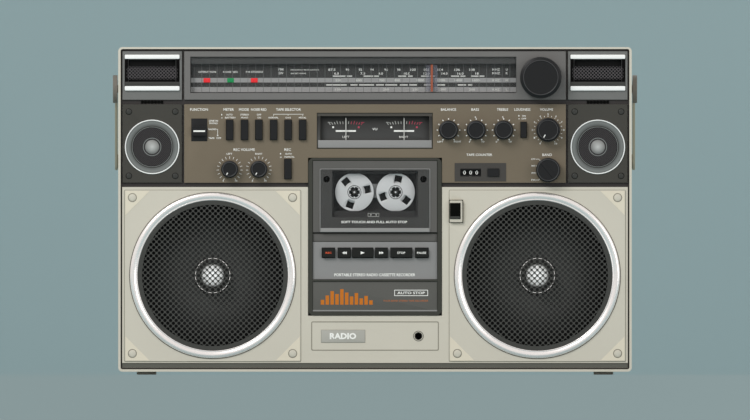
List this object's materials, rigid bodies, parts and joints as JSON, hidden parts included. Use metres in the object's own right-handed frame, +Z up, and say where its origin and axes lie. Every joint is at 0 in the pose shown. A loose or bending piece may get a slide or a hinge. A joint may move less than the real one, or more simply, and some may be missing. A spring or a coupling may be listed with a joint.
{
  "type": "radio cassette recorder",
  "caption": "Large portable stereo radio cassette recorder with a flat front, round woofers, a full-width tuning dial, a cassette deck and a folding carrying handle.",
  "frame": {"origin": "middle of the bounding box, on the plane that the feet stand on", "axes": "+X to the viewer's right when facing the front, +Y from the front towards the rear, +Z up"},
  "size_m": [0.541, 0.187, 0.338],
  "materials": {
    "cabinet_beige": "satin, fine moulded grain",
    "fascia_grey": "satin, fine grain",
    "panel_brown": "satin, warm grey-brown",
    "control_black": "black moulded controls",
    "dark_plastic": "dark grey moulding",
    "handle_plastic": "dark grip and bosses with tan arms",
    "bright_metal": "polished",
    "clear_plastic": "clear moulded window",
    "reel_grey": "light grey moulding",
    "pale_plastic": "off-white moulding and printed marks",
    "pointer_orange": "orange pointer and accent marks",
    "circuit_board": "circuit board with its large components",
    "plated_steel": "zinc plated pressing",
    "speaker_driver": "black basket, cone and magnet"
  },
  "bodies": {
    "cabinet": {"front_cabinet": "cabinet_beige", "rear_cabinet": "cabinet_beige", "control_panel": "panel_brown", "dial_fascia": "fascia_grey", "dial_window": "clear_plastic", "meter_unit": "dark_plastic", "deck_frame": "dark_plastic", "deck_chassis": "plated_steel", "main_board": "circuit_board", "woofer_left": "speaker_driver", "woofer_right": "speaker_driver", "woofer_grille_left": "bright_metal", "woofer_grille_right": "bright_metal", "midrange_left": "fascia_grey", "midrange_right": "fascia_grey", "tweeter_left": "fascia_grey", "tweeter_right": "fascia_grey"},
    "handle": {"handle": "handle_plastic"},
    "antenna_tube": {"antenna_tube": "bright_metal"},
    "antenna_rod": {"antenna_rod": "bright_metal"},
    "battery_door": {"battery_door": "cabinet_beige"},
    "door": {"cassette_door": "dark_plastic", "cassette_window": "clear_plastic", "cassette_shell": "dark_plastic"},
    "reel_left": {"reel_left": "reel_grey"},
    "reel_right": {"reel_right": "reel_grey"},
    "spindle_left": {"spindle_left": "pale_plastic"},
    "spindle_right": {"spindle_right": "pale_plastic"},
    "capstan_flywheel": {"capstan_flywheel": "plated_steel"},
    "record_key": {"record_key": "control_black"},
    "rewind_key": {"rewind_key": "control_black"},
    "play_key": {"play_key": "control_black"},
    "fast_forward_key": {"fast_forward_key": "control_black"},
    "stop_key": {"stop_key": "control_black"},
    "pause_key": {"pause_key": "control_black"},
    "eject_key": {"eject_key": "control_black"},
    "meter_button": {"meter_button": "control_black"},
    "mode_button": {"mode_button": "control_black"},
    "noise_reduction_button": {"noise_reduction_button": "control_black"},
    "tape_normal_button": {"tape_normal_button": "control_black"},
    "tape_chrome_button": {"tape_chrome_button": "control_black"},
    "tape_metal_button": {"tape_metal_button": "control_black"},
    "rec_mode_button": {"rec_mode_button": "control_black"},
    "loudness_button": {"loudness_button": "control_black"},
    "counter_reset": {"counter_reset": "control_black"},
    "function_switch": {"function_switch": "control_black"},
    "rec_level_left_knob": {"rec_level_left_knob": "control_black"},
    "rec_level_right_knob": {"rec_level_right_knob": "control_black"},
    "balance_knob": {"balance_knob": "control_black"},
    "bass_knob": {"bass_knob": "control_black"},
    "treble_knob": {"treble_knob": "control_black"},
    "volume_knob": {"volume_knob": "control_black"},
    "band_knob": {"band_knob": "control_black"},
    "tuning_knob": {"tuning_knob": "control_black"},
    "vu_needle_left": {"vu_needle_left": "pale_plastic"},
    "vu_needle_right": {"vu_needle_right": "pale_plastic"},
    "dial_pointer": {"dial_pointer": "pointer_orange"},
    "counter_wheel_units": {"counter_wheel_units": "pale_plastic"},
    "counter_wheel_tens": {"counter_wheel_tens": "pale_plastic"},
    "counter_wheel_hundreds": {"counter_wheel_hundreds": "pale_plastic"}
  },
  "joints": [
    {"name": "handle_swing", "type": "hinge", "parent": "cabinet", "child": "handle", "pos_m": [0, -0.0025, 0.2947], "axis": [1, 0, 0], "range_deg": [0, 130.65]},
    {"name": "antenna_swivel", "type": "hinge", "parent": "cabinet", "child": "antenna_tube", "pos_m": [0.236, 0.0665, 0.3312], "axis": [0, 1, 0], "range_deg": [0, 90]},
    {"name": "antenna_extend", "type": "slide", "parent": "antenna_tube", "child": "antenna_rod", "axis": [-1, 0, 0], "range_m": [0, 0.43]},
    {"name": "battery_door_swing", "type": "hinge", "parent": "cabinet", "child": "battery_door", "pos_m": [0, 0.0722, 0.0168], "axis": [-1, 0, 0], "range_deg": [0, 90]},
    {"name": "cassette_door_swing", "type": "hinge", "parent": "cabinet", "child": "door", "pos_m": [0, -0.0735, 0.149], "axis": [1, 0, 0], "range_deg": [0, 30]},
    {"name": "spindle_right_spin", "type": "hinge", "parent": "cabinet", "child": "spindle_right", "pos_m": [0.02125, -0.0585, 0.1883], "axis": [0, 1, 0], "continuous": true},
    {"name": "spindle_left_spin", "type": "hinge", "parent": "cabinet", "child": "spindle_left", "pos_m": [-0.02125, -0.0585, 0.1883], "axis": [0, 1, 0], "continuous": true},
    {"name": "reel_right_spin", "type": "hinge", "parent": "door", "child": "reel_right", "pos_m": [0.02125, -0.0655, 0.1883], "axis": [0, 1, 0], "continuous": true},
    {"name": "reel_left_spin", "type": "hinge", "parent": "door", "child": "reel_left", "pos_m": [-0.02125, -0.0655, 0.1883], "axis": [0, 1, 0], "continuous": true},
    {"name": "capstan_spin", "type": "hinge", "parent": "cabinet", "child": "capstan_flywheel", "pos_m": [0.03, -0.0475, 0.152], "axis": [0, 1, 0], "continuous": true},
    {"name": "record_key_press", "type": "slide", "parent": "cabinet", "child": "record_key", "axis": [0, 1, 0], "range_m": [0, 0.0035], "stiffness_N_per_m": 250},
    {"name": "rewind_key_press", "type": "slide", "parent": "cabinet", "child": "rewind_key", "axis": [0, 1, 0], "range_m": [0, 0.0035], "stiffness_N_per_m": 250},
    {"name": "play_key_press", "type": "slide", "parent": "cabinet", "child": "play_key", "axis": [0, 1, 0], "range_m": [0, 0.0035], "stiffness_N_per_m": 250},
    {"name": "fast_forward_key_press", "type": "slide", "parent": "cabinet", "child": "fast_forward_key", "axis": [0, 1, 0], "range_m": [0, 0.0035], "stiffness_N_per_m": 250},
    {"name": "stop_key_press", "type": "slide", "parent": "cabinet", "child": "stop_key", "axis": [0, 1, 0], "range_m": [0, 0.0035], "stiffness_N_per_m": 250},
    {"name": "pause_key_press", "type": "slide", "parent": "cabinet", "child": "pause_key", "axis": [0, 1, 0], "range_m": [0, 0.0035], "stiffness_N_per_m": 250},
    {"name": "eject_key_press", "type": "slide", "parent": "cabinet", "child": "eject_key", "axis": [0, 1, 0], "range_m": [0, 0.003], "stiffness_N_per_m": 250},
    {"name": "meter_button_press", "type": "slide", "parent": "cabinet", "child": "meter_button", "axis": [0, 1, 0], "range_m": [0, 0.0025], "stiffness_N_per_m": 200},
    {"name": "mode_button_press", "type": "slide", "parent": "cabinet", "child": "mode_button", "axis": [0, 1, 0], "range_m": [0, 0.0025], "stiffness_N_per_m": 200},
    {"name": "noise_reduction_button_press", "type": "slide", "parent": "cabinet", "child": "noise_reduction_button", "axis": [0, 1, 0], "range_m": [0, 0.0025], "stiffness_N_per_m": 200},
    {"name": "tape_normal_button_press", "type": "slide", "parent": "cabinet", "child": "tape_normal_button", "axis": [0, 1, 0], "range_m": [0, 0.0025], "stiffness_N_per_m": 200},
    {"name": "tape_chrome_button_press", "type": "slide", "parent": "cabinet", "child": "tape_chrome_button", "axis": [0, 1, 0], "range_m": [0, 0.0025], "stiffness_N_per_m": 200},
    {"name": "tape_metal_button_press", "type": "slide", "parent": "cabinet", "child": "tape_metal_button", "axis": [0, 1, 0], "range_m": [0, 0.0025], "stiffness_N_per_m": 200},
    {"name": "rec_mode_button_press", "type": "slide", "parent": "cabinet", "child": "rec_mode_button", "axis": [0, 1, 0], "range_m": [0, 0.0025], "stiffness_N_per_m": 200},
    {"name": "loudness_button_press", "type": "slide", "parent": "cabinet", "child": "loudness_button", "axis": [0, 1, 0], "range_m": [0, 0.0025], "stiffness_N_per_m": 200},
    {"name": "counter_reset_press", "type": "slide", "parent": "cabinet", "child": "counter_reset", "axis": [0, 1, 0], "range_m": [0, 0.0015], "stiffness_N_per_m": 200},
    {"name": "function_switch_slide", "type": "slide", "parent": "cabinet", "child": "function_switch", "axis": [0, 0, 1], "range_m": [-0.005, 0.005]},
    {"name": "rec_level_left_knob_turn", "type": "hinge", "parent": "cabinet", "child": "rec_level_left_knob", "pos_m": [-0.15, -0.0775, 0.2119], "axis": [0, 1, 0], "range_deg": [0, 300]},
    {"name": "rec_level_right_knob_turn", "type": "hinge", "parent": "cabinet", "child": "rec_level_right_knob", "pos_m": [-0.1199, -0.0775, 0.2119], "axis": [0, 1, 0], "range_deg": [0, 300]},
    {"name": "balance_knob_turn", "type": "hinge", "parent": "cabinet", "child": "balance_knob", "pos_m": [0.0759, -0.0775, 0.2524], "axis": [0, 1, 0], "range_deg": [-150, 150]},
    {"name": "bass_knob_turn", "type": "hinge", "parent": "cabinet", "child": "bass_knob", "pos_m": [0.1044, -0.0775, 0.2524], "axis": [0, 1, 0], "range_deg": [-150, 150]},
    {"name": "treble_knob_turn", "type": "hinge", "parent": "cabinet", "child": "treble_knob", "pos_m": [0.1328, -0.0775, 0.2524], "axis": [0, 1, 0], "range_deg": [-150, 150]},
    {"name": "volume_knob_turn", "type": "hinge", "parent": "cabinet", "child": "volume_knob", "pos_m": [0.1786, -0.0775, 0.2525], "axis": [0, 1, 0], "range_deg": [0, 300]},
    {"name": "band_knob_turn", "type": "hinge", "parent": "cabinet", "child": "band_knob", "pos_m": [0.1787, -0.0775, 0.2111], "axis": [0, 1, 0], "range_deg": [0, 90]},
    {"name": "tuning_knob_turn", "type": "hinge", "parent": "cabinet", "child": "tuning_knob", "pos_m": [0.1711, -0.0775, 0.3066], "axis": [0, 1, 0], "range_deg": [-1497, 705]},
    {"name": "vu_needle_left_swing", "type": "hinge", "parent": "cabinet", "child": "vu_needle_left", "pos_m": [-0.03, -0.0712, 0.2385], "axis": [0, 1, 0], "range_deg": [-40, 40], "stiffness_Nm_per_rad": 0.0001},
    {"name": "vu_needle_right_swing", "type": "hinge", "parent": "cabinet", "child": "vu_needle_right", "pos_m": [0.03, -0.0712, 0.2385], "axis": [0, 1, 0], "range_deg": [-40, 40], "stiffness_Nm_per_rad": 0.0001},
    {"name": "dial_pointer_travel", "type": "slide", "parent": "cabinet", "child": "dial_pointer", "axis": [1, 0, 0], "range_m": [-0.105, 0.05]},
    {"name": "counter_hundreds_spin", "type": "hinge", "parent": "cabinet", "child": "counter_wheel_hundreds", "pos_m": [0.0915, -0.0651, 0.20855], "axis": [1, 0, 0], "continuous": true},
    {"name": "counter_tens_spin", "type": "hinge", "parent": "cabinet", "child": "counter_wheel_tens", "pos_m": [0.0987, -0.0651, 0.20855], "axis": [1, 0, 0], "continuous": true},
    {"name": "counter_units_spin", "type": "hinge", "parent": "cabinet", "child": "counter_wheel_units", "pos_m": [0.1059, -0.0651, 0.20855], "axis": [1, 0, 0], "continuous": true}
  ],
  "couplings": [
    {"joint": "spindle_left_spin", "follows": "spindle_right_spin", "ratio": 1},
    {"joint": "reel_right_spin", "follows": "spindle_right_spin", "ratio": 1},
    {"joint": "reel_left_spin", "follows": "spindle_right_spin", "ratio": 1},
    {"joint": "counter_units_spin", "follows": "spindle_right_spin", "ratio": 0.05},
    {"joint": "counter_tens_spin", "follows": "spindle_right_spin", "ratio": 0.005},
    {"joint": "counter_hundreds_spin", "follows": "spindle_right_spin", "ratio": 0.0005},
    {"joint": "dial_pointer_travel", "follows": "tuning_knob_turn", "m_per_rad": 0.0039789}
  ]
}
